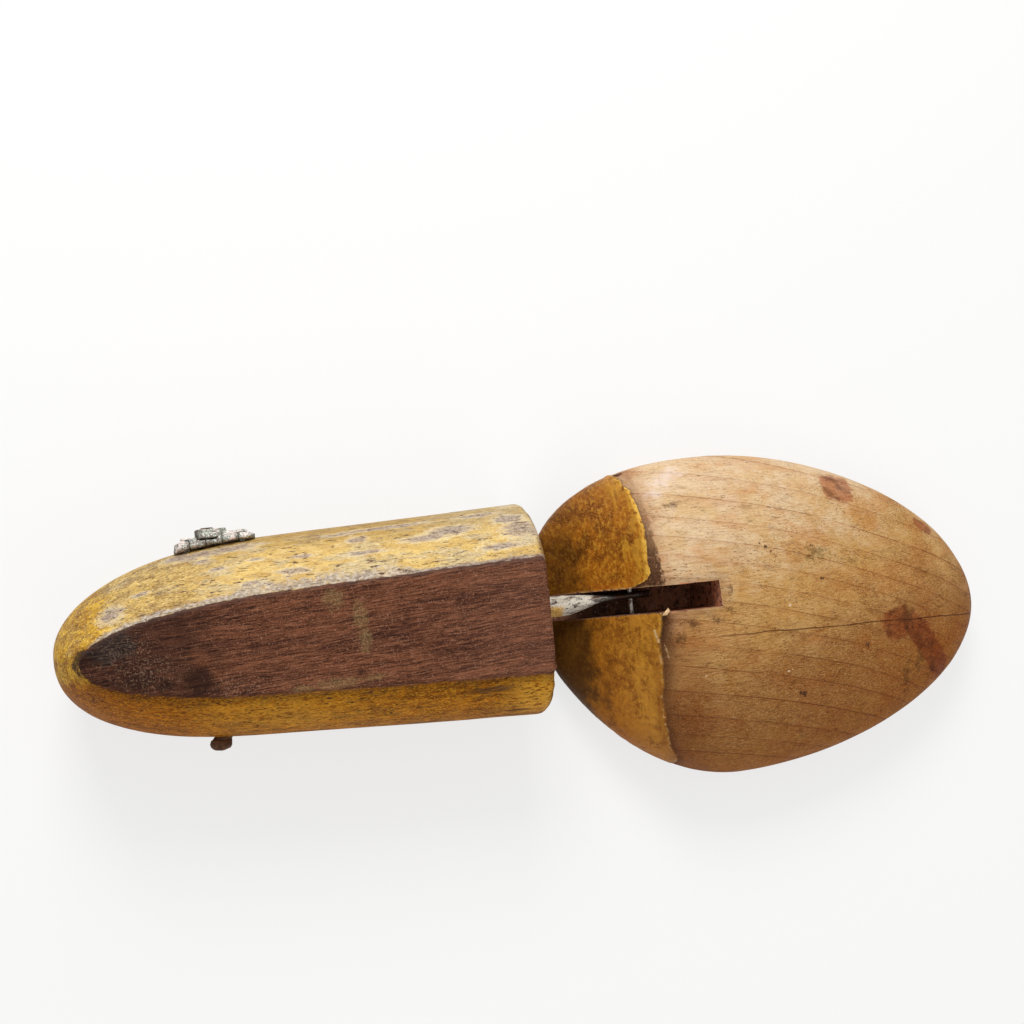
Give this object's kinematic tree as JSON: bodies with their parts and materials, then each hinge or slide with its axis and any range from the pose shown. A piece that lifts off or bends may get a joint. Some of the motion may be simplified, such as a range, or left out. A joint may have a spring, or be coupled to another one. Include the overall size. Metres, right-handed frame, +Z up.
{
  "type": "hinged shoe tree",
  "caption": "Old wooden hinged shoe tree: a painted heel block on a steel rod, pinned in a slot of a crowned forepart with a flat sole.",
  "frame": {"origin": "on the floor plane of the two flat soles, under the middle of the whole object's box", "axes": "+X from the heel to the toe along the rod, +Y to the outer side of the foot, +Z up"},
  "size_m": [0.2702, 0.0941, 0.05],
  "materials": {
    "pale_wood": "sanded and waxed, aged, with a worn ochre painted slope",
    "painted_wood": "worn ochre paint on the sides, bare dark wood on the flat top",
    "chalky_steel": "corroded, chalky white and grey",
    "bright_steel": "plain drawn wire",
    "rusty_steel": "rough dark rust",
    "corroded_strip": "thin corroded sheet with pale chalky crust"
  },
  "bodies": {
    "forepart": {"forepart_block": "pale_wood", "toe_pin": "bright_steel"},
    "link": {"link_rod": "chalky_steel"},
    "heel": {"heel_block": "painted_wood", "heel_bolt": "rusty_steel", "bolt_nut": "rusty_steel", "bolt_strip": "corroded_strip", "tack_front": "rusty_steel", "tack_rear": "rusty_steel"}
  },
  "joints": [
    {"name": "toe_hinge", "type": "hinge", "parent": "forepart", "child": "link", "pos_m": [0.0265, 0.0071, 0.017], "axis": [0, 1, 0], "range_deg": [-10, 90]},
    {"name": "heel_hinge", "type": "hinge", "parent": "link", "child": "heel", "pos_m": [-0.09213, 0.0071, 0.025], "axis": [0, -1, 0], "range_deg": [0, 90]}
  ]
}
